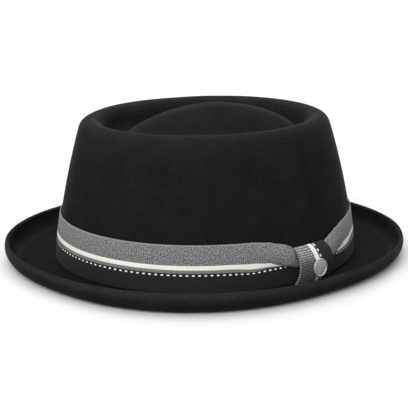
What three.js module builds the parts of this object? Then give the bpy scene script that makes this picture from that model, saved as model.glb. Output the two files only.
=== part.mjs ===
// A felt porkpie hat. The crown has a rounded rim, a moat inside it and a raised island in the
// middle. The brim lies flat and curls up all round to a cut edge. A striped ribbon goes round the
// crown, gathered under a short vertical loop of the same ribbon on the wearer's left, which
// carries a small plain metal badge.
// Millimetres, +Z up. The front of the hat faces -Y, the wearer's left is +X, and the flat of the
// brim's underside lies at z = 0. Angles go round from +X towards +Y.
import * as THREE from 'three';

// Felt
const feltWall = 2.2;
const headLength = 197.4; // inside the foot of the crown, front to back
const headBreadth = 172; // inside the foot of the crown, side to side

// Crown
const crownHeight = 91.8; // from the table to the crest of the rim, on average
const rimLength = 160.8; // between the crests at the front and back
const rimBreadth = 123.4;
const rimRadius = 8;
const rimForward = 1.9; // how far the rim sits in front of the head oval's middle
const rimAside = 0.7; // and towards the wearer's right
const rimRiseFront = 1.9; // the blocked top climbs to the front
const rimRiseLeft = 1.7; // and to the wearer's left
const wallBow = 1.55; // power of the side wall's inward curve

// Moat and island
const moatDepth = 17.8; // from the crest down to the floor of the moat
const islandLength = 136.8;
const islandBreadth = 90;
const islandHeight = 22.8; // above the floor of the moat
const islandTip = 0.24; // share by which the island widens to the back and narrows to the front
const islandPeakBack = 3.5; // how far the island's top lies behind the head oval's middle
const islandPower = 1.7;
const islandRoundness = 0.48;
const islandSlide = 1.5; // power by which its middle slides back towards the top

// Brim
const brimLength = 262; // over the curl, front to back
const brimBreadth = 229.4;
const brimSquareness = 2.24; // power of the brim's oval: 2 is an ellipse
const curlReach = 8.8; // inside the curl, outwards
const curlRise = 9; // inside the curl, upwards to where it stands upright
const curlLean = 0.19; // share of the rim's climb that the curl takes at its upright
const curlTurn = 97; // degrees from flat to the cut edge
const breakRadius = 1.2; // where the brim turns up into the crown
const breakTurn = 45; // degrees of that turn at its middle row

// Ribbon
const seamGap = 0.3; // between pieces that touch
const ribbonWidth = 29.8;
const ribbonThickness = 1;
const ribbonLift = 0.1; // its lower edge, above the foot of the crown's side wall
const gatherPuff = 2; // how far the gathered ribbon swells under the loop

// Loop of ribbon over the gather
const knotAngle = 2; // degrees from the wearer's left towards the back
const knotWidth = 29;
const knotHeight = 23;
const knotThickness = 1.2;

// Badge
const badgeDiameter = 12.2;
const badgeThickness = 1.5;
const badgeRim = 0.7; // width of the raised edge
const badgeBevel = 0.3; // on its corners, and the depth that its face is sunk
const badgeRise = 8.1; // from the foot of the loop to the badge's middle
const badgeAside = 1.4; // from the loop's middle towards the back

// Fineness of the faceted surfaces
const feltColumns = 56;
const curlSteps = 6;
const gatherColumns = 4; // ribbon columns in each felt column beside the loop
const knotColumns = 8;
const badgeSides = 28;
const probeHeight = 0.01; // steps either way in which a surface is felt for its slope
const probeTurn = 0.01;

const TURN = Math.PI * 2;
const DEGREE = Math.PI / 180;
const lerp = THREE.MathUtils.lerp;

// Shares of the way in from the curl to the crown, on the flat of the brim
const flatShares = [0, 0.3, 0.68, 1];

// Shares of the height of the crown's side wall
const wallShares = [0, 0.09, 0.24, 0.4, 0.56, 0.72, 0.87, 1];

// Degrees round the rim, from its outer face over the crest to its inner face
const rimStart = 20;
const rimEnd = 180;
const rimAngles = [47, 74, 101, 128, 155, rimEnd];

// The moat's section: inward is the share of the way from the rim to the island's foot,
// and drop is the share of the way down from the rim's middle to the floor
const moatRows = [
  { inward: 0.06, drop: 0.45 },
  { inward: 0.2, drop: 0.82 },
  { inward: 0.5, drop: 1 },
  { inward: 0.82, drop: 0.9 },
];

// Shares of the island's half length and half breadth, from its foot to its top
const islandShares = [0.985, 0.93, 0.84, 0.71, 0.54, 0.34, 0.14];

// Shares of the ribbon's width, from its lower edge
const ribbonShares = [0, 0.2, 0.42, 0.64, 0.84, 1];

// The gather beside the loop: aside is in half widths of the loop, from its middle, minus to the
// front. top is a share of the ribbon's width, and puff is a share of the swelling
const gatherRows = [
  { aside: -3.5, top: 1, puff: 0 },
  { aside: -2.4, top: 0.95, puff: 0.2 },
  { aside: -1.8, top: 0.88, puff: 0.55 },
  { aside: -1.5, top: 0.82, puff: 0.8 },
  { aside: -1.15, top: 0.67, puff: 1 },
  { aside: 0.75, top: 0.67, puff: 1 },
  { aside: 1.45, top: 0.79, puff: 0.8 },
  { aside: 2.2, top: 0.87, puff: 0.4 },
  { aside: 3.2, top: 0.95, puff: 0.15 },
  { aside: 4.1, top: 1, puff: 0 },
];

// The loop's front: rise is a share of its height, bulge a share of the gather's swelling,
// width a share of its width, and lean how far it stands aside in shares of its width
const knotRows = [
  { rise: 0, bulge: 0, width: 1.06, lean: -0.015 },
  { rise: 0.1, bulge: 0.45, width: 1.04, lean: -0.01 },
  { rise: 0.25, bulge: 0.85, width: 1, lean: 0.01 },
  { rise: 0.45, bulge: 1, width: 0.995, lean: 0.03 },
  { rise: 0.63, bulge: 0.92, width: 0.97, lean: 0 },
  { rise: 0.8, bulge: 0.66, width: 0.91, lean: -0.045 },
  { rise: 0.92, bulge: 0.3, width: 0.88, lean: -0.08 },
];

const feltMaterial = new THREE.MeshStandardMaterial({ color: 0x17171a, roughness: 0.95 });
const ribbonMaterial = new THREE.MeshStandardMaterial({ color: 0x6e6e70, roughness: 0.8 });
const badgeMaterial = new THREE.MeshStandardMaterial({
  color: 0x9a9a9c,
  roughness: 0.35,
  metalness: 1,
});

// A section part of the way from one to another
function blend(from, to, share) {
  return Object.fromEntries(Object.keys(from).map((key) => [key, lerp(from[key], to[key], share)]));
}

// A level section of the felt is an oval with its half breadth x and half length y, its middle,
// its height, its power, how far it tapers to the front (tip) and how far it shares the rim's
// climb to the front and left (lean). This is its point at an angle
function sectionPoint(section, angle) {
  const cos = Math.cos(angle);
  const sin = Math.sin(angle);
  const power = 2 / section.power;
  const x = section.x * Math.sign(cos) * Math.abs(cos) ** power * (1 + section.tip * sin);
  const y = section.y * Math.sign(sin) * Math.abs(sin) ** power;
  const climb = (rimRiseLeft * x) / (rimBreadth / 2) - (rimRiseFront * y) / (rimLength / 2);
  return new THREE.Vector3(x + section.shiftX, y + section.shiftY, section.z + section.lean * climb);
}

// Sections that the rest of the felt is worked out from
const rimMiddle = crownHeight - rimRadius;

const crownFoot = {
  x: headBreadth / 2 + feltWall,
  y: headLength / 2 + feltWall,
  z: feltWall + breakRadius,
  shiftX: 0,
  shiftY: 0,
  power: 2,
  tip: 0,
  lean: 0,
};

const curlFoot = {
  ...crownFoot,
  x: brimBreadth / 2 - feltWall - curlReach,
  y: brimLength / 2 - feltWall - curlReach,
  z: feltWall,
  power: brimSquareness,
};

const islandFoot = {
  x: islandBreadth / 2,
  y: islandLength / 2,
  z: crownHeight - moatDepth,
  shiftX: -rimAside,
  shiftY: -rimForward,
  power: 2,
  tip: islandTip,
  lean: 1,
};

function curlSection(degrees) {
  const turn = degrees * DEGREE;
  const reach = curlReach * Math.sin(turn);
  const rise = curlRise * (1 - Math.cos(turn));
  return {
    ...curlFoot,
    x: curlFoot.x + reach,
    y: curlFoot.y + reach,
    z: curlFoot.z + rise,
    lean: curlLean * (1 - Math.cos(turn)),
  };
}

function flatSection(share) {
  const inner = {
    ...crownFoot,
    x: crownFoot.x + breakRadius,
    y: crownFoot.y + breakRadius,
    z: feltWall,
  };
  return blend(curlFoot, inner, share);
}

function breakSection(degrees) {
  const turn = degrees * DEGREE;
  const out = breakRadius * (1 - Math.sin(turn));
  const up = breakRadius * (1 - Math.cos(turn));
  return { ...crownFoot, x: crownFoot.x + out, y: crownFoot.y + out, z: feltWall + up };
}

function rimSection(degrees) {
  const turn = degrees * DEGREE;
  const out = rimRadius * Math.cos(turn);
  return {
    x: rimBreadth / 2 + out,
    y: rimLength / 2 + out,
    z: rimMiddle + rimRadius * Math.sin(turn),
    shiftX: -rimAside,
    shiftY: -rimForward,
    power: 2,
    tip: 0,
    lean: 1,
  };
}

// The side wall at a share of its height; below its foot it keeps the foot's oval
function wallSection(share) {
  const top = rimSection(rimStart);
  const inward = Math.max(share, 0) ** wallBow;
  return { ...blend(crownFoot, top, inward), z: lerp(crownFoot.z, top.z, share) };
}

function moatSection(row) {
  const section = blend(rimSection(rimEnd), islandFoot, row.inward);
  return { ...section, z: lerp(rimMiddle, islandFoot.z, row.drop) };
}

function islandSection(share) {
  const slide = share ** islandSlide;
  return {
    ...islandFoot,
    x: islandFoot.x * share,
    y: islandFoot.y * share,
    z: islandFoot.z + islandHeight * (1 - share ** islandPower) ** islandRoundness,
    shiftX: islandFoot.shiftX * slide,
    shiftY: lerp(islandPeakBack, islandFoot.shiftY, slide),
    lean: share,
  };
}

// The felt's upper side, from the cut edge of the brim to the top of the island
function feltSections() {
  const curl = Array.from({ length: curlSteps }, (_, step) =>
    curlSection(curlTurn * (1 - step / curlSteps)),
  );
  return [
    ...curl,
    ...flatShares.map(flatSection),
    breakSection(breakTurn),
    ...wallShares.map(wallSection),
    ...rimAngles.map(rimSection),
    ...moatRows.map(moatSection),
    ...islandShares.map(islandSection),
  ];
}

// Outward direction of a surface between four of its points
function surfaceNormal(back, ahead, right, left) {
  const along = new THREE.Vector3().subVectors(ahead, back);
  const round = new THREE.Vector3().subVectors(left, right);
  return round.cross(along).normalize();
}

// An indexed mesh that is filled by point and by quad
class Shell {
  constructor() {
    this.places = [];
    this.faces = [];
  }

  addPoint(point) {
    this.places.push(point.x, point.y, point.z);
    return this.places.length / 3 - 1;
  }

  addGrid(points) {
    return points.map((row) => row.map((point) => this.addPoint(point)));
  }

  addTriangle(a, b, c) {
    this.faces.push(a, b, c);
  }

  addQuad(a, b, c, d) {
    this.addTriangle(a, b, c);
    this.addTriangle(a, c, d);
  }

  // Quads between two rows of points, closed into a ring if asked
  addStrip(first, second, ring) {
    const steps = ring ? first.length : first.length - 1;
    for (let step = 0; step < steps; step += 1) {
      const next = (step + 1) % first.length;
      this.addQuad(first[step], first[next], second[next], second[step]);
    }
  }

  geometry() {
    const geometry = new THREE.BufferGeometry();
    geometry.setAttribute('position', new THREE.Float32BufferAttribute(this.places, 3));
    geometry.setIndex(this.faces);
    geometry.computeVertexNormals();
    return geometry;
  }
}

// Felt: the upper side, and the same surface pushed in by the wall
function feltGeometry() {
  const angles = Array.from({ length: feltColumns }, (_, column) => (column / feltColumns) * TURN);
  const upper = feltSections().map((section) => angles.map((angle) => sectionPoint(section, angle)));
  const peak = sectionPoint(islandSection(0), 0);
  const lower = upper.map((ring, row) =>
    ring.map((point, column) => {
      const back = upper[Math.max(row - 1, 0)][column];
      const ahead = upper[row + 1] ? upper[row + 1][column] : peak;
      const right = ring[(column + feltColumns - 1) % feltColumns];
      const left = ring[(column + 1) % feltColumns];
      const normal = surfaceNormal(back, ahead, right, left);
      return point.clone().addScaledVector(normal, -feltWall);
    }),
  );
  const shell = new Shell();
  const outside = shell.addGrid(upper);
  const inside = shell.addGrid(lower);
  const outsidePeak = shell.addPoint(peak);
  const insidePeak = shell.addPoint(new THREE.Vector3(peak.x, peak.y, peak.z - feltWall));
  const last = outside.length - 1;
  for (let row = 0; row < last; row += 1) {
    shell.addStrip(outside[row], outside[row + 1], true);
    shell.addStrip(inside[row + 1], inside[row], true);
  }
  for (let column = 0; column < feltColumns; column += 1) {
    const next = (column + 1) % feltColumns;
    shell.addTriangle(outside[last][column], outside[last][next], outsidePeak);
    shell.addTriangle(inside[last][next], inside[last][column], insidePeak);
  }
  shell.addStrip(inside[0], outside[0], true);
  return shell.geometry();
}

// A place on the side wall at an angle and a height, stood off by a distance
function onWall(angle, height, standOff) {
  const share = (z) => (z - crownFoot.z) / (wallSection(1).z - crownFoot.z);
  const place = (turn, z) => sectionPoint(wallSection(share(z)), turn);
  const normal = surfaceNormal(
    place(angle, height - probeHeight),
    place(angle, height + probeHeight),
    place(angle - probeTurn, height),
    place(angle + probeTurn, height),
  );
  return place(angle, height).addScaledVector(normal, standOff);
}

// A table's value between its rows, and flat beyond its ends
function readRows(rows, key, value, at) {
  if (at <= rows[0][key]) return rows[0][value];
  const next = rows.findIndex((row) => row[key] > at);
  if (next < 0) return rows[rows.length - 1][value];
  const from = rows[next - 1];
  const to = rows[next];
  return lerp(from[value], to[value], (at - from[key]) / (to[key] - from[key]));
}

// Heights and stand-offs that the ribbon, the loop and the badge share
const ribbonFoot = crownFoot.z + ribbonLift;
const knotFoot = feltWall + seamGap;
const knotHalfAngle = knotWidth / 2 / crownFoot.y;
const knotMiddle = knotAngle * DEGREE;

// How far the gather stands out at a height
function gatherSwell(height) {
  const rise = (height - knotFoot) / knotHeight;
  return gatherPuff * readRows(knotRows, 'rise', 'bulge', rise);
}

// Angles round the ribbon, closer together beside the loop
function ribbonAngles() {
  const reach = gatherRows[gatherRows.length - 1].aside * knotHalfAngle;
  const angles = [];
  for (let column = 0; column < feltColumns; column += 1) {
    const angle = (column / feltColumns) * TURN;
    angles.push(angle);
    const turn = Math.abs(((angle - knotMiddle + Math.PI + TURN) % TURN) - Math.PI);
    const steps = turn < reach + TURN / feltColumns ? gatherColumns : 1;
    for (let step = 1; step < steps; step += 1) {
      angles.push(angle + ((step / steps) * TURN) / feltColumns);
    }
  }
  return angles;
}

// Ribbon: a ring whose upper edge dips and whose face swells under the loop
function ribbonGeometry() {
  const angles = ribbonAngles();
  const sheet = (face) =>
    ribbonShares.map((share) =>
      angles.map((angle) => {
        const turn = ((angle - knotMiddle + Math.PI + TURN) % TURN) - Math.PI;
        const aside = turn / knotHalfAngle;
        const top = ribbonWidth * readRows(gatherRows, 'aside', 'top', aside);
        const height = ribbonFoot + share * top;
        const puff = readRows(gatherRows, 'aside', 'puff', aside) * gatherSwell(height);
        return onWall(angle, height, seamGap + face * (ribbonThickness + puff));
      }),
    );
  const shell = new Shell();
  const front = shell.addGrid(sheet(1));
  const back = shell.addGrid(sheet(0));
  const last = ribbonShares.length - 1;
  for (let row = 0; row < last; row += 1) {
    shell.addStrip(front[row], front[row + 1], true);
    shell.addStrip(back[row + 1], back[row], true);
  }
  shell.addStrip(front[last], back[last], true);
  shell.addStrip(back[0], front[0], true);
  return shell.geometry();
}

// The loop's section, as pairs of points on its front and its back. The last pair is the lip
// that turns in over the gathered ribbon
function knotSection() {
  const ribbonFace = seamGap + ribbonThickness;
  const rows = knotRows.map((row) => {
    const swell = gatherPuff * row.bulge;
    const height = knotFoot + knotHeight * row.rise;
    const backOut = ribbonFace + seamGap + swell;
    return { ...row, front: [height, backOut + knotThickness], back: [height, backOut] };
  });
  const end = knotRows[knotRows.length - 1];
  const top = knotFoot + knotHeight;
  const cornerOut = ribbonFace + seamGap + gatherPuff * end.bulge;
  const corner = { front: [top, cornerOut], back: [top - knotThickness, cornerOut] };
  const lip = { front: [top, seamGap], back: [top - knotThickness, seamGap] };
  return [...rows, { ...end, ...corner }, { ...end, ...lip }];
}

// A point of the loop at a row of its section, -1 to 1 across it
function knotPoint(row, side, across) {
  const [height, standOff] = row[side];
  const aside = row.lean * 2 + row.width * across;
  return onWall(knotMiddle + aside * knotHalfAngle, height, standOff);
}

function knotGeometry() {
  const section = knotSection();
  const across = Array.from({ length: knotColumns + 1 }, (_, step) => (step / knotColumns) * 2 - 1);
  const sheet = (side) => section.map((row) => across.map((share) => knotPoint(row, side, share)));
  const shell = new Shell();
  const front = shell.addGrid(sheet('front'));
  const back = shell.addGrid(sheet('back'));
  const last = section.length - 1;
  for (let row = 0; row < last; row += 1) {
    shell.addStrip(front[row], front[row + 1], false);
    shell.addStrip(back[row + 1], back[row], false);
    shell.addQuad(back[row][0], front[row][0], front[row + 1][0], back[row + 1][0]);
    const end = knotColumns;
    shell.addQuad(front[row][end], back[row][end], back[row + 1][end], front[row + 1][end]);
  }
  shell.addStrip(front[last], back[last], false);
  shell.addStrip(back[0], front[0], false);
  return shell.geometry();
}

// Badge: a plain disc with a raised edge and a slightly domed middle
function badgeGeometry() {
  const radius = badgeDiameter / 2;
  const sunk = badgeThickness - badgeBevel;
  const profile = [
    new THREE.Vector2(0, 0),
    new THREE.Vector2(radius - badgeBevel, 0),
    new THREE.Vector2(radius, badgeBevel),
    new THREE.Vector2(radius, sunk),
    new THREE.Vector2(radius - badgeRim / 2, badgeThickness),
    new THREE.Vector2(radius - badgeRim, sunk),
    new THREE.Vector2(radius / 2, sunk + badgeBevel / 2),
    new THREE.Vector2(0, badgeThickness - badgeBevel / 2),
  ];
  return new THREE.LatheGeometry(profile, badgeSides);
}

// The badge lies on the loop's front, square to it
function placeBadge(badge) {
  const angle = knotMiddle + badgeAside / crownFoot.y;
  const front = (turn, height) => {
    const base = seamGap + ribbonThickness + seamGap + knotThickness;
    return onWall(turn, height, base + gatherSwell(height));
  };
  const height = knotFoot + badgeRise;
  const normal = surfaceNormal(
    front(angle, height - probeHeight),
    front(angle, height + probeHeight),
    front(angle - probeTurn, height),
    front(angle + probeTurn, height),
  );
  badge.position.copy(front(angle, height).addScaledVector(normal, seamGap));
  badge.quaternion.setFromUnitVectors(new THREE.Vector3(0, 1, 0), normal);
}

function namedMesh(name, geometry, material) {
  const mesh = new THREE.Mesh(geometry, material);
  mesh.name = name;
  return mesh;
}

const hat = new THREE.Group();
const badge = namedMesh('badge', badgeGeometry(), badgeMaterial);
placeBadge(badge);
hat.add(
  namedMesh('felt_body', feltGeometry(), feltMaterial),
  namedMesh('ribbon_band', ribbonGeometry(), ribbonMaterial),
  namedMesh('ribbon_knot', knotGeometry(), ribbonMaterial),
  badge,
);

export default hat;
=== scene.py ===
"""Looks of a black felt porkpie hat with a striped ribbon, a ribbon loop and a small badge.

The felt is one blocked shell: a brim that curls up all round, a side wall, a rounded rim, a moat
and an island. A striped ribbed ribbon goes round the crown and is gathered under a short loop of
the same ribbon on the wearer's left, which carries a plain metal badge. Sizes are in millimetres
and are turned into metres where a point is placed. The front of the hat faces -Y, the wearer's
left is +X, and angles go round from +X towards +Y.
"""

from __future__ import annotations

import logging
import math
from dataclasses import astuple, dataclass, field, replace
from enum import Enum
from itertools import accumulate
from typing import Callable, Sequence, Union

import bmesh
import bpy
from mathutils import Matrix, Vector, noise

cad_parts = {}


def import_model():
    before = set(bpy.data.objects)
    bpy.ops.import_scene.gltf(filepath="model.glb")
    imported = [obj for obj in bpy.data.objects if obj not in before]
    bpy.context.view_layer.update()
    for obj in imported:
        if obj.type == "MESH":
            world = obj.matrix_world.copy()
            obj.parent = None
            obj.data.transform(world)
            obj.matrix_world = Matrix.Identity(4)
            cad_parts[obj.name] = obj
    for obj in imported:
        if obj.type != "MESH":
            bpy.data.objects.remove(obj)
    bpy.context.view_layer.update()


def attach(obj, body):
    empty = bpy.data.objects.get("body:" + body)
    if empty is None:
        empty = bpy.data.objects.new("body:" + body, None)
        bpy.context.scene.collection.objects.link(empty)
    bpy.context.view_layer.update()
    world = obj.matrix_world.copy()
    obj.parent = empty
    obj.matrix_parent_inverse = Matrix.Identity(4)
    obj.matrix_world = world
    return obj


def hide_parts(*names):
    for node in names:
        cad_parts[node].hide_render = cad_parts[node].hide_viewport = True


LOG = logging.getLogger("porkpie_hat")

MM = 0.001
TURN = math.tau

Color = tuple[float, float, float]
Table = tuple[tuple[float, ...], tuple[float, ...]]
Socket = bpy.types.NodeSocket
Material = bpy.types.Material
Piece = bpy.types.Object
Form = bmesh.types.BMesh
Value = Union[Socket, float, Color]
Builder = Callable[[Material], Piece]


class Slot(Enum):
    """The material slots of the record."""

    FELT = "felt"
    RIBBON = "ribbon"
    METAL = "badge_metal"


def mix(start: float, end: float, share: float) -> float:
    """Return the value a share of the way from start to end."""
    return start + (end - start) * share


def ease(share: float) -> float:
    """Return a share held to 0..1 with soft ends."""
    held = min(max(share, 0.0), 1.0)
    return held * held * (3.0 - 2.0 * held)


def read_table(keys: Sequence[float], values: Sequence[float], at: float) -> float:
    """Read a value between the keys of a table, flat beyond its ends.

    Args:
        keys: rising keys.
        values: one value for each key.
        at: where to read.

    Returns:
        The value at that place, on straight lines between the keys.
    """
    if at <= keys[0]:
        return values[0]
    for index in range(1, len(keys)):
        if at <= keys[index]:
            share = (at - keys[index - 1]) / (keys[index] - keys[index - 1])
            return mix(values[index - 1], values[index], share)
    return values[-1]


# ---------------------------------------------------------------- shape of the hat block


@dataclass(frozen=True)
class Oval:
    """A level section of the felt, in millimetres.

    breadth and length are half sizes; aside and ahead move its middle; power is 2 for an
    ellipse and more for squarer ends; tip widens its back and narrows its front; lean is how
    much it follows the crown's slope, swell how much it follows the brim's wave, and
    painted_light how much paler painted light makes it.
    """

    breadth: float
    length: float
    height: float
    aside: float = 0.0
    ahead: float = 0.0
    power: float = 2.0
    tip: float = 0.0
    lean: float = 0.0
    swell: float = 0.0
    painted_light: float = 0.0

    def toward(self, other: Oval, share: float) -> Oval:
        """Return the section a share of the way to another one."""
        pairs = zip(astuple(self), astuple(other))
        return Oval(*(mix(start, end, share) for start, end in pairs))


@dataclass(frozen=True)
class HatBlock:
    """The sizes that the felt was blocked to, and the sections that they give."""

    wall: float = 2.2
    head_length: float = 197.4
    head_breadth: float = 172.0
    crown_height: float = 91.8
    rim_length: float = 161.4
    rim_breadth: float = 124.0
    rim_radius: float = 8.0
    rim_forward: float = 1.9
    rim_aside: float = 0.7
    rim_rise_front: float = 2.3
    rim_rise_left: float = 1.2
    rim_start: float = 20.0
    wall_bow: float = 1.55
    moat_depth: float = 17.8
    island_length: float = 136.8
    island_breadth: float = 90.0
    island_height: float = 23.4
    island_tip: float = 0.24
    island_peak_back: float = 3.5
    island_power: float = 1.7
    island_roundness: float = 0.48
    island_slide: float = 1.5
    brim_length: float = 263.4
    brim_breadth: float = 230.2
    brim_squareness: float = 2.24
    curl_reach: float = 8.8
    curl_rise: float = 7.64
    curl_lean: float = 0.213
    curl_knee: float = 85.0
    curl_turn: float = 128.0
    lip_radius: float = 3.3
    break_radius: float = 1.2
    wave: Table = (
        (-180.0, -135.0, -105.0, -80.0, -60.0, -45.0, -30.0, -5.0, 20.0, 45.0, 60.0, 180.0),
        (1.3, 1.2, 0.2, 0.1, 0.9, 1.2, 0.9, 0.1, 0.1, 0.7, 1.3, 1.3),
    )

    @property
    def rim_middle(self) -> float:
        """Height of the middle of the rim's rounding."""
        return self.crown_height - self.rim_radius

    @property
    def crown_foot(self) -> Oval:
        """Section at the foot of the side wall."""
        return Oval(
            self.head_breadth / 2 + self.wall,
            self.head_length / 2 + self.wall,
            self.wall + self.break_radius,
        )

    def point(self, oval: Oval, angle: float) -> Vector:
        """Place a point of a section.

        Args:
            oval: the section.
            angle: radians round the hat, from the wearer's left to the back.

        Returns:
            The point, in metres.
        """
        cos, sin = math.cos(angle), math.sin(angle)
        power = 2.0 / oval.power
        x = oval.breadth * math.copysign(abs(cos) ** power, cos) * (1.0 + oval.tip * sin)
        y = oval.length * math.copysign(abs(sin) ** power, sin)
        climb = self.rim_rise_left * x / (self.rim_breadth / 2)
        climb -= self.rim_rise_front * y / (self.rim_length / 2)
        turn = (math.degrees(angle) + 180.0) % 360.0 - 180.0
        swell = oval.swell * read_table(*self.wave, turn)
        place = Vector((x + oval.aside, y + oval.ahead, oval.height + oval.lean * climb + swell))
        return place * MM

    def _curl_climb(self, degrees: float) -> float:
        """Height of the curl over the flat brim, by degrees from flat, in millimetres."""
        turn, knee = math.radians(degrees), math.radians(self.curl_knee)
        climb = self.curl_rise * (1.0 - math.cos(min(turn, knee)))
        return climb + self.lip_radius * (math.cos(knee) - math.cos(max(turn, knee)))

    def curl(self, degrees: float) -> Oval:
        """Section of the brim's curl, by degrees from flat; past its knee it is a tight lip."""
        turn, knee = math.radians(degrees), math.radians(self.curl_knee)
        out = self.curl_reach * (math.sin(min(turn, knee)) - 1.0) - self.wall
        out += self.lip_radius * (math.sin(max(turn, knee)) - math.sin(knee))
        climb = self._curl_climb(degrees)
        share = climb / self._curl_climb(self.curl_turn)
        return Oval(
            self.brim_breadth / 2 + out,
            self.brim_length / 2 + out,
            self.wall + climb,
            power=self.brim_squareness,
            lean=self.curl_lean * share,
            swell=share,
        )

    def flat(self, share: float) -> Oval:
        """Section on the flat of the brim, by its share of the way in from the curl."""
        foot = self.crown_foot
        inner = Oval(foot.breadth + self.break_radius, foot.length + self.break_radius, self.wall)
        return self.curl(0.0).toward(inner, share)

    def brim_break(self, degrees: float) -> Oval:
        """Section where the brim turns up into the crown, by degrees of that turn."""
        turn = math.radians(degrees)
        out = self.break_radius * (1.0 - math.sin(turn))
        foot = self.crown_foot
        rise = self.break_radius * (1.0 - math.cos(turn))
        return Oval(foot.breadth + out, foot.length + out, self.wall + rise)

    def rim(self, degrees: float) -> Oval:
        """Section of the rim, by degrees from level on its outer face over the crest."""
        turn = math.radians(degrees)
        out = self.rim_radius * math.cos(turn)
        return Oval(
            self.rim_breadth / 2 + out,
            self.rim_length / 2 + out,
            self.rim_middle + self.rim_radius * math.sin(turn),
            aside=-self.rim_aside,
            ahead=-self.rim_forward,
            lean=1.0,
        )

    def side(self, share: float) -> Oval:
        """Section of the side wall, by its share of the wall's height."""
        foot, top = self.crown_foot, self.rim(self.rim_start)
        section = foot.toward(top, max(share, 0.0) ** self.wall_bow)
        return replace(section, height=mix(foot.height, top.height, share))

    def moat(self, inward: float, drop: float) -> Oval:
        """Section of the moat, by shares of the way in to the island and down to the floor."""
        floor = self.crown_height - self.moat_depth
        section = self.rim(180.0).toward(self.island_foot, inward)
        return replace(section, height=mix(self.rim_middle, floor, drop))

    @property
    def island_foot(self) -> Oval:
        """Section at the foot of the island."""
        return Oval(
            self.island_breadth / 2,
            self.island_length / 2,
            self.crown_height - self.moat_depth,
            aside=-self.rim_aside,
            ahead=-self.rim_forward,
            tip=self.island_tip,
            lean=1.0,
        )

    def island(self, share: float) -> Oval:
        """Section of the island, by its share of the island's spread."""
        foot = self.island_foot
        slide = share**self.island_slide
        rise = (1.0 - share**self.island_power) ** self.island_roundness
        return Oval(
            foot.breadth * share,
            foot.length * share,
            foot.height + self.island_height * rise,
            aside=foot.aside * slide,
            ahead=mix(self.island_peak_back, foot.ahead, slide),
            tip=foot.tip,
            lean=share,
        )

    def side_point(self, angle: float, height: float) -> Vector:
        """Return the point of the side wall at an angle and a height."""
        foot, top = self.crown_foot.height, self.rim(self.rim_start).height
        return self.point(self.side((height - foot) / (top - foot)), angle)

    def side_normal(self, angle: float, height: float) -> Vector:
        """Return the side wall's outward direction at an angle and a height."""
        step = 0.01
        up = self.side_point(angle, height + step) - self.side_point(angle, height - step)
        along = self.side_point(angle + step, height) - self.side_point(angle - step, height)
        return along.cross(up).normalized()

    def on_side(self, angle: float, height: float, off: float) -> Vector:
        """Place a point over the side wall.

        Args:
            angle: radians round the hat.
            height: millimetres above the table, before it is stood off.
            off: millimetres off the wall.

        Returns:
            The point, in metres.
        """
        return self.side_point(angle, height) + self.side_normal(angle, height) * (off * MM)


# ---------------------------------------------------------------- finishes


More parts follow.
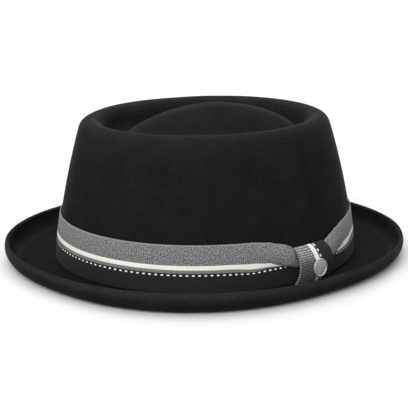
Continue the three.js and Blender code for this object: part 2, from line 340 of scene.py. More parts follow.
class NodeBench:
    """A material's node tree, with short calls to add and join its nodes."""

    def __init__(self, name: str) -> None:
        """Make an empty material with a surface shader.

        Args:
            name: the material's name.
        """
        self.material = bpy.data.materials.new(name)
        self.material.use_nodes = True
        self.tree = self.material.node_tree
        self.tree.nodes.clear()
        self.shader = self.tree.nodes.new("ShaderNodeBsdfPrincipled")
        output = self.tree.nodes.new("ShaderNodeOutputMaterial")
        self.join(self.shader.outputs["BSDF"], output.inputs["Surface"])

    def join(self, source: Socket, target: Socket) -> None:
        """Link an output to an input."""
        self.tree.links.new(source, target)

    def put(self, target: Socket, value: Value) -> None:
        """Set an input from a number or colour, or link it from an output."""
        if isinstance(value, Socket):
            self.join(value, target)
        elif target.type == "RGBA":
            target.default_value = (*value, 1.0)
        else:
            target.default_value = value

    def set_shader(self, **values: Value) -> None:
        """Set the shader's inputs; an underscore in a name stands for a space."""
        for name, value in values.items():
            self.put(self.shader.inputs[name.replace("_", " ")], value)

    def math(self, operation: str, *values: Value) -> Socket:
        """Add a Math node.

        Args:
            operation: the node's operation.
            *values: numbers or outputs for its inputs.

        Returns:
            Its output.
        """
        node = self.tree.nodes.new("ShaderNodeMath")
        node.operation = operation
        for index, value in enumerate(values):
            self.put(node.inputs[index], value)
        return node.outputs[0]

    def spread(
        self,
        value: Value,
        low: float,
        high: float,
        to_low: float = 0.0,
        to_high: float = 1.0,
    ) -> Socket:
        """Add a smooth Map Range node from low..high to to_low..to_high."""
        node = self.tree.nodes.new("ShaderNodeMapRange")
        node.interpolation_type = "SMOOTHSTEP"
        for index, entry in enumerate((value, low, high, to_low, to_high)):
            self.put(node.inputs[index], entry)
        return node.outputs[0]

    def tint(self, share: Value, first: Value, second: Value) -> Socket:
        """Mix two colours by a share."""
        node = self.tree.nodes.new("ShaderNodeMix")
        node.data_type = "RGBA"
        self.put(node.inputs["Factor"], share)
        for name, value in (("A", first), ("B", second)):
            socket = next(s for s in node.inputs if s.name == name and s.type == "RGBA")
            self.put(socket, value)
        return next(s for s in node.outputs if s.type == "RGBA")

    def object_point(self) -> Socket:
        """Return the Object coordinates."""
        return self.tree.nodes.new("ShaderNodeTexCoord").outputs["Object"]

    def cloth_point(self) -> tuple[Socket, Socket]:
        """Return the two parts of the piece's own UV map."""
        uv = self.tree.nodes.new("ShaderNodeUVMap")
        uv.uv_map = "cloth"
        split = self.tree.nodes.new("ShaderNodeSeparateXYZ")
        self.join(uv.outputs["UV"], split.inputs[0])
        return split.outputs[0], split.outputs[1]

    def attribute(self, name: str) -> Socket:
        """Return a number that the piece's mesh carries."""
        node = self.tree.nodes.new("ShaderNodeAttribute")
        node.attribute_name = name
        return node.outputs["Fac"]

    def scaled(self, vector: Value, scale: Value) -> Socket:
        """Scale a colour or a vector as a whole."""
        node = self.tree.nodes.new("ShaderNodeVectorMath")
        node.operation = "SCALE"
        self.put(node.inputs[0], vector)
        self.put(node.inputs["Scale"], scale)
        return node.outputs[0]

    def vector(self, x: Value, y: Value, z: Value = 0.0) -> Socket:
        """Join three numbers into a vector."""
        node = self.tree.nodes.new("ShaderNodeCombineXYZ")
        for index, value in enumerate((x, y, z)):
            self.put(node.inputs[index], value)
        return node.outputs[0]

    def noise(
        self,
        vector: Socket,
        scale: float,
        detail: float = 2.0,
        roughness: float = 0.5,
    ) -> Socket:
        """Add a Noise texture and return its height."""
        node = self.tree.nodes.new("ShaderNodeTexNoise")
        self.join(vector, node.inputs["Vector"])
        node.inputs["Scale"].default_value = scale
        node.inputs["Detail"].default_value = detail
        node.inputs["Roughness"].default_value = roughness
        return node.outputs["Fac"]

    def stretched(self, vector: Socket, scale: Color) -> Socket:
        """Scale a vector along its three axes."""
        node = self.tree.nodes.new("ShaderNodeMapping")
        self.join(vector, node.inputs["Vector"])
        node.inputs["Scale"].default_value = scale
        return node.outputs["Vector"]

    def bump(
        self,
        height: Socket,
        depth: float,
        strength: float = 1.0,
        under: Socket | None = None,
    ) -> Socket:
        """Add a Bump node.

        Args:
            height: the height, 0 to 1.
            depth: what a height of 1 stands for, in millimetres.
            strength: share of the relief that shows.
            under: the normal of a coarser relief.

        Returns:
            The normal.
        """
        node = self.tree.nodes.new("ShaderNodeBump")
        node.inputs["Strength"].default_value = strength
        node.inputs["Distance"].default_value = depth * MM
        self.join(height, node.inputs["Height"])
        if under is not None:
            self.join(under, node.inputs["Normal"])
        return node.outputs["Normal"]


@dataclass(frozen=True)
class FeltFinish:
    """Black wool felt: dull, faintly mottled, and paler by painted light on its crests, its lip
    and in its moat.

    fibre, lie and mottle are the sizes of its grain, nap and clouds, in millimetres; the
    reliefs are millimetres too.
    """

    dark: Color = (0.0054, 0.0054, 0.0055)
    light: Color = (0.0122, 0.0122, 0.0124)
    fibre: float = 0.9
    lie: float = 2.88
    mottle: float = 14.0
    fibre_share: float = 0.75
    fibre_relief: float = 0.16
    nap_relief: float = 0.22

    def material(self) -> Material:
        """Build the material."""
        bench = NodeBench("black_felt")
        place = bench.object_point()
        fibres = bench.noise(place, 1.0 / (self.fibre * MM), detail=4.0, roughness=0.65)
        lie = bench.noise(place, 1.0 / (self.lie * MM), detail=3.0, roughness=0.6)
        clouds = bench.noise(place, 1.0 / (self.mottle * MM), detail=3.0)
        clouds = bench.math("MULTIPLY", clouds, 1.0 - self.fibre_share)
        grain = bench.math("MULTIPLY_ADD", fibres, self.fibre_share, clouds)
        color = bench.tint(bench.spread(grain, 0.32, 0.68), self.dark, self.light)
        # Painted light: the felt is made paler by its painted_light layer.
        color = bench.scaled(color, bench.math("ADD", bench.attribute("painted_light"), 1.0))
        nap = bench.bump(lie, self.nap_relief, 0.6)
        bench.set_shader(
            Base_Color=color,
            Roughness=bench.spread(lie, 0.3, 0.7, 0.86, 0.97),
            Normal=bench.bump(fibres, self.fibre_relief, 0.8, nap),
            Sheen_Weight=0.05,
            Sheen_Roughness=0.25,
            Specular_IOR_Level=0.02,
        )
        return bench.material


@dataclass(frozen=True)
class RibbonWeave:
    """How the ribbon is woven. Lengths are in millimetres, heights from its black edge."""

    width: float = 28.6
    dash_height: float = 11.0
    dash_length: float = 1.65
    dash_thickness: float = 0.88
    dash_pitch: float = 3.7026
    dash_start: float = 1.13
    thin_from: float = 12.2
    cream_from: float = 14.1
    grey_from: float = 16.7
    edge_from: float = 27.7
    stripe_blur: float = 0.16
    rib_pitch: float = 1.35


@dataclass(frozen=True)
class RibbonFinish:
    """Ribbed ribbon: heather grey, cream, a thin grey line, and black with white dashes.

    rib_shade and plain_shade darken the grooves of the grey and of the other stripes;
    rib_relief and fleck_relief are millimetres; foot_painted_shade and top_painted_light scale
    the grey below and above the turn, as painted shade at its foot and painted light at its
    top; the turn's ends are run lengths in ribbon widths.
    """

    name: str
    weave: RibbonWeave
    rib_shade: float
    rib_relief: float
    plain_shade: float = 0.14
    foot_painted_shade: float = 1.0
    top_painted_light: float = 1.0
    turn: tuple[float, float] = (0.45, 0.75)
    fleck: tuple[float, float] = (0.8, 1.0)
    fleck_relief: float = 0.08
    fleck_shade: float = 0.3
    black: Color = (0.015, 0.015, 0.0155)
    thin_grey: Color = (0.19, 0.19, 0.192)
    cream: Color = (0.86, 0.83, 0.755)
    heather_dark: Color = (0.082, 0.082, 0.085)
    heather_light: Color = (0.3, 0.3, 0.305)
    edge: Color = (0.22, 0.22, 0.225)
    white: Color = (0.92, 0.92, 0.9)

    def _heather(self, bench: NodeBench, fleck: Socket, along: Socket) -> Socket:
        """Colour the grey by its flecks, and by painted shade below and painted light above the
        turn along its run.
        """
        share = bench.spread(fleck, 0.36, 0.66)
        grey = bench.tint(share, self.heather_dark, self.heather_light)
        # Painted shade towards the foot of the run and painted light towards its top.
        return bench.scaled(grey, bench.spread(along, *self.turn, self.foot_painted_shade, self.top_painted_light))

    def _stripes(self, bench: NodeBench, across: Socket, heather: Socket) -> Value:
        """Colour the stripes from the black edge up."""
        weave = self.weave
        blur = weave.stripe_blur
        color: Value = self.black
        rows = (
            (weave.thin_from, self.thin_grey),
            (weave.cream_from, self.cream),
            (weave.grey_from, heather),
            (weave.edge_from, self.edge),
        )
        for start, tone in rows:
            low, high = (start - blur) / weave.width, (start + blur) / weave.width
            color = bench.tint(bench.spread(across, low, high), color, tone)
        return color

    def _dashes(self, bench: NodeBench, along: Socket, across: Socket) -> Socket:
        """Return where the white dashes lie, 0 to 1."""
        weave = self.weave
        start = weave.dash_start / weave.dash_pitch
        cell = bench.math("MULTIPLY_ADD", along, weave.width / weave.dash_pitch, start)
        cell = bench.math("FRACT", cell)
        reach = 2.0 * weave.dash_pitch / weave.dash_length
        sideways = bench.math("MULTIPLY", bench.math("SUBTRACT", cell, 0.5), reach)
        rise = bench.math("SUBTRACT", across, weave.dash_height / weave.width)
        rise = bench.math("MULTIPLY", rise, 2.0 * weave.width / weave.dash_thickness)
        length = bench.math("POWER", bench.math("ABSOLUTE", sideways), 3.0)
        height = bench.math("POWER", bench.math("ABSOLUTE", rise), 3.0)
        return bench.spread(bench.math("ADD", length, height), 0.6, 1.3, 1.0, 0.0)

    def material(self) -> Material:
        """Build the material."""
        weave = self.weave
        bench = NodeBench(self.name)
        along, across = bench.cloth_point()
        ribs = bench.math("MULTIPLY", along, TURN * weave.width / weave.rib_pitch)
        rib = bench.math("MULTIPLY_ADD", bench.math("SINE", ribs), 0.5, 0.5)
        rib = bench.math("POWER", rib, 0.5)
        threads = bench.vector(
            bench.math("MULTIPLY", along, weave.width / self.fleck[0]),
            bench.math("MULTIPLY", across, weave.width / self.fleck[1]),
        )
        fleck = bench.noise(threads, 1.0, detail=3.0, roughness=0.7)
        stripes = self._stripes(bench, across, self._heather(bench, fleck, along))
        color = bench.tint(self._dashes(bench, along, across), stripes, self.white)
        grey = weave.grey_from / weave.width
        depth = bench.spread(across, grey - 0.01, grey + 0.01, self.plain_shade, self.rib_shade)
        groove = bench.math("MULTIPLY", bench.math("SUBTRACT", 1.0, rib), depth)
        shade = bench.math("SUBTRACT", 1.0, groove)
        toned = bench.math("MULTIPLY_ADD", fleck, self.fleck_shade, 1.0 - self.fleck_shade / 2)
        ridged = bench.bump(rib, self.rib_relief, 0.7)
        bench.set_shader(
            Base_Color=bench.scaled(color, bench.math("MULTIPLY", shade, toned)),
            Roughness=bench.spread(fleck, 0.3, 0.7, 0.62, 0.8),
            Normal=bench.bump(fleck, self.fleck_relief, 0.5, ridged),
            Sheen_Weight=0.03,
            Sheen_Roughness=0.4,
            Specular_IOR_Level=0.2,
        )
        return bench.material


@dataclass(frozen=True)
class MetalFinish:
    """Satin grey metal with fine lines and a little tarnish, sized in noise scales."""

    dark: Color = (0.44, 0.44, 0.445)
    light: Color = (0.63, 0.63, 0.635)
    tarnish: float = 900.0
    lines: float = 700.0
    line_stretch: Color = (1.0, 1.0, 9.0)
    line_relief: float = 0.02

    def material(self) -> Material:
        """Build the material."""
        bench = NodeBench("satin_metal")
        place = bench.object_point()
        cloud = bench.noise(place, self.tarnish, detail=3.0)
        grain = bench.noise(bench.stretched(place, self.line_stretch), self.lines, detail=4.0)
        bench.set_shader(
            Base_Color=bench.tint(bench.spread(cloud, 0.3, 0.7), self.dark, self.light),
            Metallic=0.4,
            Roughness=bench.spread(grain, 0.3, 0.7, 0.3, 0.48),
            Normal=bench.bump(grain, self.line_relief, 0.5),
        )
        return bench.material


@dataclass(frozen=True)
class FloorFinish:
    """A plain pale floor with a barely uneven tone."""

    light: Color = (0.8, 0.8, 0.8)
    dark: Color = (0.77, 0.77, 0.77)

    def material(self) -> Material:
        """Build the material."""
        bench = NodeBench("pale_floor")
        cloud = bench.noise(bench.object_point(), 3.0, detail=2.0)
        color = bench.tint(cloud, self.dark, self.light)
        bench.set_shader(Base_Color=color, Roughness=0.9, Specular_IOR_Level=0.1)
        return bench.material


# ---------------------------------------------------------------- pieces


def finished_piece(
    name: str,
    form: Form,
    material: Material,
) -> Piece:
    """Turn a bmesh into a smooth-shaded object at the origin.

    Args:
        name: the piece's name.
        form: its shape, in metres; it is freed.
        material: its finish.

    Returns:
        The object, linked to the scene.
    """
    for face in form.faces:
        face.smooth = True
    mesh = bpy.data.meshes.new(name)
    form.to_mesh(mesh)
    form.free()
    mesh.materials.append(material)
    piece = bpy.data.objects.new(name, mesh)
    bpy.context.scene.collection.objects.link(piece)
    return piece


def face_toward(form: Form, face: bmesh.types.BMFace, outward: Vector) -> None:
    """Turn all the faces over if one of them looks away from a direction."""
    form.normal_update()
    if face.normal.dot(outward) < 0.0:
        bmesh.ops.reverse_faces(form, faces=list(form.faces))


def add_thickness(piece: Piece, thickness: float, offset: float) -> None:
    """Give a sheet its thickness.

    Args:
        piece: the sheet.
        thickness: millimetres.
        offset: -1 to grow behind its face, 1 to grow in front.
    """
    solid = piece.modifiers.new("thickness", "SOLIDIFY")
    solid.thickness = thickness * MM
    solid.offset = offset
    solid.use_even_offset = True


def round_edges(piece: Piece, width: float, segments: int) -> None:
    """Round a piece's sharp edges by a width in millimetres."""
    bevel = piece.modifiers.new("rounding", "BEVEL")
    bevel.width = width * MM
    bevel.segments = segments
    bevel.limit_method = "ANGLE"
    bevel.angle_limit = math.radians(50.0)


def subdivide(piece: Piece, levels: int) -> None:
    """Subdivide a piece smoothly."""
    smooth = piece.modifiers.new("smoothing", "SUBSURF")
    smooth.levels = levels
    smooth.render_levels = levels


@dataclass
class FeltBody:
    """The crown and the brim, one shell of felt."""

    block: HatBlock
    columns: int = 96
    curl_rows: int = 13
    flat_rows: int = 7
    side_rows: int = 15
    rim_rows: int = 11
    break_turn: float = 45.0
    edge_width: float = 0.95
    edge_segments: int = 3
    unevenness: float = 0.28
    drift_scales: tuple[float, float] = (17.0, 38.0)
    drift_from: float = 2.5
    drift_over: float = 12.0
    # Painted light: these tables make the felt paler where light falls. They paint a highlight on
    # the lip, the rim's crest and the island's ridge, and paint light on the curl's foot, the top
    # of the side and in the moat.
    curl_painted_light: Table = (
        (0.0, 20.0, 45.0, 65.0, 80.0, 95.0, 128.0),
        (0.2, 0.6, 0.2, 0.0, 0.35, 1.0, 1.15),
    )
    side_painted_light: Table = ((0.0, 0.8, 1.0), (0.0, 0.0, 0.3))
    rim_painted_light: Table = (
        (20.0, 60.0, 85.0, 104.0, 118.0, 140.0, 180.0),
        (0.35, 0.75, 1.0, 1.6, 1.2, 0.5, 0.7),
    )
    moat_painted_light: Table = ((0.0, 0.12, 0.7, 1.0), (0.7, 1.4, 1.2, 0.8))
    island_painted_light: Table = ((0.0, 0.75, 0.9, 0.96, 1.0), (0.05, 0.1, 0.8, 1.3, 1.2))
    moat_rows: tuple[tuple[float, float], ...] = (
        *((0.02, 0.22), (0.06, 0.45), (0.12, 0.66), (0.2, 0.82)),
        *((0.33, 0.95), (0.5, 1.0), (0.67, 0.98), (0.82, 0.9)),
    )
    island_shares: tuple[float, ...] = (
        *(0.985, 0.96, 0.925, 0.88, 0.83, 0.77, 0.7),
        *(0.62, 0.53, 0.43, 0.33, 0.23, 0.13, 0.05),
    )

    def sections(self) -> list[Oval]:
        """List the sections from the brim's cut edge to the island's top."""
        block = self.block
        turns = [block.curl_turn * (1.0 - step / self.curl_rows) for step in range(self.curl_rows)]
        curl = [self._painted(block.curl(turn), self.curl_painted_light, turn) for turn in turns]
        flat = [block.flat(step / self.flat_rows) for step in range(self.flat_rows + 1)]
        shares = [step / self.side_rows for step in range(self.side_rows + 1)]
        side = [self._painted(block.side(share), self.side_painted_light, share) for share in shares]
        pitch = (180.0 - block.rim_start) / self.rim_rows
        turns = [block.rim_start + pitch * (step + 1) for step in range(self.rim_rows)]
        rim = [self._painted(block.rim(turn), self.rim_painted_light, turn) for turn in turns]
        moat = [
            self._painted(block.moat(inward, drop), self.moat_painted_light, inward)
            for inward, drop in self.moat_rows
        ]
        island = [
            self._painted(block.island(share), self.island_painted_light, share)
            for share in self.island_shares
        ]
        bend = block.brim_break(self.break_turn)
        return [*curl, *flat, bend, *side, *rim, *moat, *island]

    @staticmethod
    def _painted(oval: Oval, painted_light: Table, at: float) -> Oval:
        """Give a section the painted light that a table says."""
        return replace(oval, painted_light=read_table(*painted_light, at))

    def _place(
        self,
        ring: Sequence[bmesh.types.BMVert],
        column: bmesh.types.BMLayerItem,
        toned: bmesh.types.BMLayerItem,
        oval: Oval,
    ) -> None:
        """Put a ring's points on a section, each at the angle of its column."""
        for vert in ring:
            vert.co = self.block.point(oval, TURN * vert[column] / self.columns)
            # Each point carries its section's painted light.
            vert[toned] = oval.painted_light

    def _shape(self) -> Form:
        """Raise the shell ring by ring from its cut edge and close it at the island's top."""
        form = bmesh.new()
        column = form.verts.layers.int.new("column")
        # A layer of painted light, which the felt's finish reads to make the felt paler.
        toned = form.verts.layers.float.new("painted_light")
        ring = bmesh.ops.create_circle(form, segments=self.columns, radius=1.0)["verts"]
        for vert in ring:
            turn = math.atan2(vert.co.y, vert.co.x) % TURN
            vert[column] = round(turn / TURN * self.columns) % self.columns
        sections = self.sections()
        self._place(ring, column, toned, sections[0])
        edges = list(form.edges)
        for oval in sections[1:]:
            grown = bmesh.ops.extrude_edge_only(form, edges=edges)["geom"]
            ring = [part for part in grown if isinstance(part, bmesh.types.BMVert)]
            edges = [part for part in grown if isinstance(part, bmesh.types.BMEdge)]
            self._place(ring, column, toned, oval)
        peak = self.block.point(self.block.island(0.0), 0.0)
        grown = bmesh.ops.extrude_edge_only(form, edges=edges)["geom"]
        ring = [part for part in grown if isinstance(part, bmesh.types.BMVert)]
        bmesh.ops.pointmerge(form, verts=ring, merge_co=peak)
        return form

    def _soften(self, form: Form) -> None:
        """Take the machined evenness out of the blocked shape."""
        form.normal_update()
        wide, fine = self.drift_scales
        for vert in form.verts:
            drift = noise.noise(vert.co * wide) + 0.5 * noise.noise(vert.co * fine)
            low = ease((vert.co.z / MM - self.drift_from) / self.drift_over)
            vert.co += vert.normal * (drift * low * self.unevenness * MM)

    def build(self, finish: Material) -> Piece:
        """Build and dress the felt."""
        form = self._shape()
        bmesh.ops.recalc_face_normals(form, faces=list(form.faces))
        top = max(form.faces, key=lambda face: face.calc_center_median().z)
        face_toward(form, top, Vector((0.0, 0.0, 1.0)))
        self._soften(form)
        felt = finished_piece("felt_shell", form, finish)
        add_thickness(felt, self.block.wall, -1.0)
        round_edges(felt, self.edge_width, self.edge_segments)
        subdivide(felt, 1)
        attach(felt, "root")
        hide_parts("felt_body")
        return felt


def woven_sheet(
    place: Callable[[float, float], Vector],
    columns: int,
    rows: int,
    weave: RibbonWeave,
    measured: float,
) -> tuple[float, Form]:
    """Lay a ribbon as a grid whose cloth map follows its true length.

    Args:
        place: point at a share of the length and a share of the width, in metres.
        columns: faces along the length.
        rows: faces across the width.
        weave: the ribbon's weave.
        measured: share of the width at which the length is measured.

    Returns:
        The length in millimetres, and the grid.
    """
    form = bmesh.new()
    uv = form.loops.layers.uv.new("cloth")
    bmesh.ops.create_grid(form, x_segments=columns, y_segments=rows, size=0.5, calc_uvs=True)
    line = [place(step / columns, measured) for step in range(columns + 1)]
    steps = ((after - before).length / MM for before, after in zip(line, line[1:]))
    run = [0.0, *accumulate(steps)]
    for face in form.faces:
        for corner in face.loops:
            share, across = corner.vert.co.x + 0.5, corner.vert.co.y + 0.5
            corner[uv].uv = (run[round(share * columns)] / weave.width, across)
    for vert in form.verts:
        vert.co = place(vert.co.x + 0.5, vert.co.y + 0.5)
    return run[-1], form


@dataclass(frozen=True)
class GatherStation:
    """The ribbon's section at one place beside the loop.

    aside is the place, in half widths of the loop from its middle; heights and offs follow
    RIBBON_KEYS, in millimetres above the table and off the wall.
    """

    aside: float
    heights: tuple[float, ...]
    offs: tuple[float, ...]


RIBBON_KEYS = (0.0, 5.3, 11.0, 12.2, 14.1, 15.4, 16.7, 18.4, 22.9, 27.1, 28.6)
REST_FOOT = 3.5
REST_OFF = 0.45
REST_HEIGHTS = tuple(REST_FOOT + key for key in RIBBON_KEYS)
REST_OFFS = (REST_OFF,) * len(RIBBON_KEYS)
GATHER = (
    GatherStation(-4.2, REST_HEIGHTS, REST_OFFS),
    GatherStation(
        -3.1,
        (3.5, 8.6, 14.0, 15.0, 16.5, 18.0, 19.75, 21.2, 26.0, 30.1, 31.9),
        (0.45, 0.45, 0.45, 0.45, 0.45, 0.45, 0.5, 0.6, 0.7, 0.6, 0.45),
    ),
    GatherStation(
        -2.4,
        (3.5, 8.9, 14.6, 16.3, 16.75, 17.8, 19.1, 20.5, 25.2, 29.0, 30.8),
        (0.45, 0.45, 0.5, 0.55, 0.6, 0.65, 0.8, 1.2, 1.7, 1.2, 0.5),
    ),
    GatherStation(
        -1.9,
        (3.5, 9.0, 14.8, 16.1, 16.4, 16.8, 17.4, 18.5, 23.3, 27.3, 29.1),
        (0.45, 0.5, 0.6, 0.6, 0.6, 0.8, 1.3, 2.3, 3.0, 2.0, 0.8),
    ),
    GatherStation(
        -1.55,
        (3.5, 9.0, 15.0, 15.8, 16.1, 16.4, 15.9, 16.8, 22.0, 26.2, 27.9),
        (0.45, 0.5, 0.6, 0.6, 0.6, 0.8, 2.5, 3.5, 4.0, 2.6, 1.0),
    ),
    GatherStation(
        -1.3,
        (3.5, 8.9, 15.3, 15.5, 15.6, 15.8, 15.0, 15.9, 20.9, 24.7, 26.3),
        (0.45, 0.45, 0.5, 0.5, 0.5, 0.7, 2.4, 3.4, 3.7, 2.4, 0.9),
    ),
    GatherStation(
        -1.08,
        (3.5, 8.6, 15.2, 15.4, 15.5, 15.5, 14.2, 15.1, 19.6, 23.0, 24.4),
        (0.45, 0.45, 0.5, 0.6, 0.7, 0.9, 1.9, 2.1, 2.1, 1.5, 0.7),
    ),
    GatherStation(
        -0.8,
        (3.5, 7.6, 12.0, 13.0, 13.8, 14.6, 15.2, 16.0, 18.8, 21.2, 22.4),
        (0.45, 0.8, 1.2, 1.3, 1.4, 1.5, 1.5, 1.5, 1.4, 1.0, 0.5),
    ),
    GatherStation(
        0.7,
        (3.5, 7.6, 12.0, 13.0, 13.8, 14.6, 15.2, 16.0, 18.8, 21.2, 22.4),
        (0.45, 0.8, 1.2, 1.3, 1.4, 1.5, 1.5, 1.5, 1.4, 1.0, 0.5),
    ),
    GatherStation(
        1.05,
        (3.5, 8.0, 12.8, 13.8, 14.4, 14.9, 14.0, 14.8, 19.2, 23.6, 25.1),
        (0.5, 0.9, 1.1, 0.9, 0.8, 1.0, 2.5, 3.0, 3.2, 2.0, 0.8),
    ),
    GatherStation(
        1.45,
        (3.5, 8.4, 13.5, 14.3, 14.6, 15.0, 14.5, 15.8, 20.6, 25.2, 26.9),
        (0.45, 0.6, 0.8, 0.7, 0.7, 1.0, 2.0, 2.7, 3.1, 2.0, 0.7),
    ),
    GatherStation(
        2.0,
        (3.5, 8.4, 13.2, 14.1, 14.5, 15.4, 16.4, 17.7, 22.6, 27.2, 29.0),
        (0.45, 0.5, 0.6, 0.6, 0.7, 0.9, 1.1, 1.6, 2.0, 1.3, 0.5),
    ),
    GatherStation(
        2.8,
        (3.5, 8.2, 13.2, 14.1, 14.6, 16.6, 18.6, 19.9, 24.6, 29.0, 30.8),
        (0.45, 0.45, 0.5, 0.5, 0.5, 0.55, 0.7, 0.9, 1.0, 0.7, 0.45),
    ),
    GatherStation(4.2, REST_HEIGHTS, REST_OFFS),
)


@dataclass(frozen=True)
class RibbonBand:
    """The striped ribbon round the crown, gathered under the loop.

    middle is the loop's angle, and half_width and thickness are millimetres.
    """

    block: HatBlock
    weave: RibbonWeave
    middle: float = math.radians(2.0)
    half_width: float = 14.5
    thickness: float = 0.7
    columns: int = 380
    rows: int = 34
    stations: tuple[GatherStation, ...] = GATHER

    def _section(self, aside: float) -> tuple[list[float], list[float]]:
        """Blend the gather's sections at a place beside the loop."""
        stations = self.stations
        if aside <= stations[0].aside:
            return list(stations[0].heights), list(stations[0].offs)
        for before, after in zip(stations, stations[1:]):
            if aside <= after.aside:
                share = ease((aside - before.aside) / (after.aside - before.aside))
                heights = [mix(a, b, share) for a, b in zip(before.heights, after.heights)]
                offs = [mix(a, b, share) for a, b in zip(before.offs, after.offs)]
                return heights, offs
        return list(stations[-1].heights), list(stations[-1].offs)

    def _half_angle(self) -> float:
        """Half the loop's width as an angle round the crown."""
        return self.half_width / self.block.crown_foot.length

    def point(self, angle: float, across: float) -> Vector:
        """Place a point of the ribbon's back.

        Args:
            angle: radians round the hat.
            across: share of the ribbon's width, from its black edge.

        Returns:
            The point, in metres.
        """
        turn = (angle - self.middle + math.pi) % TURN - math.pi
        heights, offs = self._section(turn / self._half_angle())
        at = across * self.weave.width
        height = read_table(RIBBON_KEYS, heights, at)
        return self.block.on_side(angle, height, read_table(RIBBON_KEYS, offs, at))

    def build(self, finish: Material) -> Piece:
        """Build and dress the ribbon. Its ends meet under the loop."""
        run, form = woven_sheet(
            lambda share, across: self.point(self.middle + TURN * share, across),
            self.columns,
            self.rows,
            self.weave,
            measured=self.weave.dash_height / self.weave.width,
        )
        band = finished_piece("ribbon_around", form, finish)
        add_thickness(band, self.thickness, 1.0)
        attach(band, "root")
        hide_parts("ribbon_band")
        return band


@dataclass(frozen=True)
class LoopRow:
    """One row of the loop along its own length.

    height and off are in millimetres; left, stripe and right are degrees from the wearer's
    left to its grey edge, to where its cream stripe meets the grey, and to its black edge;
    puff stands the middle of the row proud of its edges, in millimetres.
    """

    height: float
    off: float
    left: float
    stripe: float
    right: float
    puff: float = 0.0


@dataclass
class RibbonLoop:
    """The short loop of ribbon that gathers the band, its stripes standing upright.

    cream_turn and dash_turn are the widths of the cream stripe and of the gap to the dashes,
    in degrees.
    """

    block: HatBlock
    weave: RibbonWeave
    thickness: float = 0.8
    across: int = 30
    along: int = 44
    middle_height: float = 12.0
    cream_turn: float = 2.05
    dash_turn: float = 0.85
    rows: tuple[LoopRow, ...] = (
        LoopRow(2.75, 0.9, -7.9, 0.5, 9.4),
        LoopRow(2.7, 2.2, -8.0, 0.5, 9.5, 0.1),
        LoopRow(4.2, 3.4, -7.9, 0.6, 9.6, 0.3),
        LoopRow(7.0, 4.2, -7.2, 0.8, 10.0, 0.5),
        LoopRow(10.0, 4.6, -6.7, 0.9, 10.2, 0.6),
        LoopRow(13.5, 4.8, -6.5, 1.0, 10.4, 0.6),
        LoopRow(16.5, 4.5, -6.5, 0.6, 10.4, 0.5),
        LoopRow(19.3, 3.9, -6.6, 0.2, 10.0, 0.5),
        LoopRow(21.9, 3.1, -6.9, -0.3, 9.2, 0.4),
        LoopRow(23.7, 2.3, -7.2, -0.7, 8.4, 0.3),
        LoopRow(24.5, 1.5, -7.3, -1.0, 8.0, 0.2),
        LoopRow(24.4, 0.8, -7.2, -1.0, 7.8, 0.0),
        LoopRow(23.3, 0.35, -7.0, -1.0, 7.6, 0.0),
    )

    def _row(self, share: float) -> LoopRow:
        """Blend the loop's rows at a share of its length."""
        at = share * (len(self.rows) - 1)
        index = min(int(at), len(self.rows) - 2)
        before, after = self.rows[index], self.rows[index + 1]
        part = at - index
        pairs = zip(astuple(before), astuple(after))
        return LoopRow(*(mix(start, end, part) for start, end in pairs))

    def point(self, share: float, across: float) -> Vector:
        """Place a point of the loop's back.

        Args:
            share: of the loop's length, from its lower end.
            across: share of the ribbon's width, from its black edge.

        Returns:
            The point, in metres.
        """
        row = self._row(share)
        weave = self.weave
        keys = (0.0, weave.dash_height, weave.cream_from, weave.grey_from, weave.width)
        cream = row.stripe + self.cream_turn
        places = (row.right, cream + self.dash_turn, cream, row.stripe, row.left)
        angle = math.radians(read_table(keys, places, across * weave.width))
        side = 2.0 * across - 1.0
        crown = row.puff * (1.0 - side * side)
        return self.block.on_side(angle, row.height, row.off + crown)

    def build(self, finish: Material) -> Piece:
        """Build and dress the loop."""
        run, form = woven_sheet(self.point, self.along, self.across, self.weave, 0.5)
        level = self.middle_height * MM
        middle = min(form.faces, key=lambda face: abs(face.calc_center_median().z - level))
        face_toward(form, middle, self.block.side_normal(0.0, self.middle_height))
        loop_piece = finished_piece("ribbon_loop", form, finish)
        add_thickness(loop_piece, self.thickness, 1.0)
        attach(loop_piece, "root")
        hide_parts("ribbon_knot")
        return loop_piece


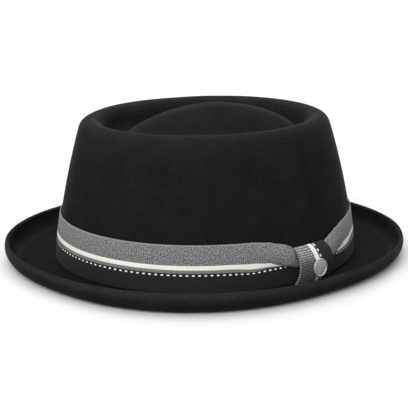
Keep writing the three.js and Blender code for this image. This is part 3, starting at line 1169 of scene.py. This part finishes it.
@dataclass
class Badge:
    """The plain metal disc on the loop.

    Its middle is at an angle and a height over the side wall, and its back stand_off from
    the wall; turn swings its face towards the front.
    """

    loop: RibbonLoop
    diameter: float = 11.2
    thickness: float = 1.5
    edge: float = 0.7
    angle: float = math.radians(2.1)
    turn: float = math.radians(-2.0)
    height: float = 11.2
    stand_off: float = 6.1
    sides: int = 72

    def _profile(self) -> list[tuple[float, float]]:
        """List the section's points: distance from the axis and height, in millimetres."""
        radius, top = self.diameter / 2, self.thickness
        return [
            (0.0, 0.0),
            (radius - 0.3, 0.0),
            (radius, 0.3),
            (radius, top - 0.35),
            (radius - 0.12, top - 0.1),
            (radius - self.edge * 0.5, top),
            (radius - self.edge * 0.85, top - 0.1),
            (radius - self.edge, top - 0.42),
            (radius - self.edge - 0.25, top - 0.45),
            (radius * 0.62, top - 0.3),
            (radius * 0.3, top - 0.2),
            (0.0, top - 0.16),
        ]

    def build(self, finish: Material) -> Piece:
        """Build and dress the badge."""
        form = bmesh.new()
        tip = form.verts.new((0.0, 0.0, 0.0))
        edges: list[bmesh.types.BMEdge] = []
        for out, up in self._profile()[1:]:
            grown = bmesh.ops.extrude_vert_indiv(form, verts=[tip])
            tip = grown["verts"][0]
            tip.co = Vector((out, 0.0, up)) * MM
            edges.extend(grown["edges"])
        bmesh.ops.spin(
            form,
            geom=list(form.verts) + edges,
            cent=(0.0, 0.0, 0.0),
            axis=(0.0, 0.0, 1.0),
            angle=TURN,
            steps=self.sides,
            use_merge=True,
        )
        bmesh.ops.remove_doubles(form, verts=list(form.verts), dist=1e-6)
        bmesh.ops.recalc_face_normals(form, faces=list(form.faces))
        seat = self.loop.block.side_normal(self.angle, self.height)
        base = self.loop.block.on_side(self.angle, self.height, self.stand_off)
        seat.rotate(Matrix.Rotation(self.turn, 3, "Z"))
        turn = Vector((0.0, 0.0, 1.0)).rotation_difference(seat).to_matrix().to_4x4()
        bmesh.ops.transform(form, matrix=Matrix.Translation(base) @ turn, verts=list(form.verts))
        disc = finished_piece("badge_disc", form, finish)
        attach(disc, "root")
        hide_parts("badge")
        return disc


# ---------------------------------------------------------------- studio


@dataclass(frozen=True)
class SoftLight:
    """A square soft light that faces the hat."""

    name: str
    place: Vector
    size: float
    power: float


@dataclass
class Studio:
    """The floor, the lights and the camera.

    Lengths are metres and turns radians. drift_right and drift_up aim the camera off the
    hat's middle; daylight is the sky's strength, and shade its slope, which makes it brighter
    on the wearer's front right.
    """

    aim: Vector = field(default_factory=lambda: Vector((0.0, 0.0, 0.045)))
    eye: Vector = field(default_factory=lambda: Vector((0.7392, -0.7392, 0.3214)))
    elevation: float = 0.245
    roll: float = 0.020
    lens: float = 149.0
    drift_right: float = -0.002564
    drift_up: float = -0.02437
    floor_size: float = 12.0
    daylight: float = 0.75
    shade: Vector = field(default_factory=lambda: Vector((-0.15, -0.15, 0.0)))
    lights: tuple[SoftLight, ...] = (
        SoftLight("key_light", Vector((0.95, -1.55, 1.3)), 1.4, 32.0),
        SoftLight("top_light", Vector((-0.4, 0.2, 2.0)), 2.4, 14.0),
        SoftLight("back_light", Vector((-1.0, 1.2, 1.4)), 1.6, 10.0),
    )

    def build_floor(self) -> None:
        """Lay the floor."""
        form = bmesh.new()
        bmesh.ops.create_grid(form, x_segments=8, y_segments=8, size=self.floor_size / 2)
        floor = finished_piece("floor", form, FloorFinish().material())

    def build_lights(self) -> None:
        """Hang the soft lights and set the sky."""
        for light in self.lights:
            data = bpy.data.lights.new(light.name, "AREA")
            data.shape = "SQUARE"
            data.size = light.size
            data.energy = light.power
            lamp = bpy.data.objects.new(light.name, data)
            lamp.location = light.place
            lamp.rotation_euler = (self.aim - light.place).to_track_quat("-Z", "Y").to_euler()
            bpy.context.scene.collection.objects.link(lamp)
        world = bpy.data.worlds.new("studio")
        world.use_nodes = True
        sky = world.node_tree.nodes["Background"]
        sky.inputs["Color"].default_value = (1.0, 1.0, 1.0, 1.0)
        nodes, links = world.node_tree.nodes, world.node_tree.links
        facing = nodes.new("ShaderNodeVectorMath")
        facing.operation = "DOT_PRODUCT"
        facing.inputs[1].default_value = self.shade
        links.new(nodes.new("ShaderNodeTexCoord").outputs["Generated"], facing.inputs[0])
        strength = nodes.new("ShaderNodeMath")
        strength.operation = "ADD"
        strength.inputs[1].default_value = self.daylight
        links.new(facing.outputs["Value"], strength.inputs[0])
        links.new(strength.outputs[0], sky.inputs["Strength"])
        bpy.context.scene.world = world

    def build_camera(self) -> None:
        """Set the camera at the photograph's angle."""
        level = Vector((-math.sqrt(0.5), math.sqrt(0.5), 0.0))
        ahead = level * math.cos(self.elevation) - Vector((0.0, 0.0, math.sin(self.elevation)))
        right = Vector((math.sqrt(0.5), math.sqrt(0.5), 0.0))
        upward = right.cross(ahead)
        cos, sin = math.cos(self.roll), math.sin(self.roll)
        right, upward = right * cos + upward * sin, upward * cos - right * sin
        look = (ahead + right * self.drift_right + upward * self.drift_up).normalized()
        right = look.cross(upward).normalized()
        upward = right.cross(look)
        turn = Matrix((right, upward, -look)).transposed().to_4x4()
        data = bpy.data.cameras.new("camera")
        data.lens = self.lens
        camera = bpy.data.objects.new("camera", data)
        camera.matrix_world = Matrix.Translation(self.eye) @ turn
        bpy.context.scene.collection.objects.link(camera)
        bpy.context.scene.camera = camera

    def build(self) -> None:
        """Build the floor, the lights and the camera."""
        self.build_camera()
        self.build_floor()
        self.build_lights()
        bpy.context.scene.view_settings.view_transform = "Standard"


def main() -> None:
    """Build the studio and the hat's pieces in order."""
    logging.basicConfig(level=logging.INFO, format="%(name)s: %(message)s")
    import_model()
    Studio().build()
    block = HatBlock()
    weave = RibbonWeave()
    ribbon = RibbonFinish("striped_ribbon", weave, rib_shade=0.3, rib_relief=0.15).material()
    # The loop's copy of the ribbon's finish is darkened at its foot by painted shade and made
    # paler at its top by painted light.
    ribbed = RibbonFinish(
        "ribbed_loop",
        replace(weave, dash_start=2.33, dash_length=1.7, dash_thickness=1.5, rib_pitch=1.5),
        rib_shade=0.85,
        rib_relief=0.3,
        foot_painted_shade=0.6,
        top_painted_light=1.6,
        heather_dark=(0.1, 0.1, 0.104),
        heather_light=(0.33, 0.33, 0.335),
    ).material()
    loop = RibbonLoop(block, weave)
    steps: tuple[tuple[Builder, Material], ...] = (
        (FeltBody(block).build, FeltFinish().material()),
        (RibbonBand(block, weave).build, ribbon),
        (loop.build, ribbed),
        (Badge(loop).build, MetalFinish().material()),
    )
    for build, finish in steps:
        piece = build(finish)
        LOG.info("%s: %d faces before its modifiers", piece.name, len(piece.data.polygons))


if __name__ == "__main__":
    main()
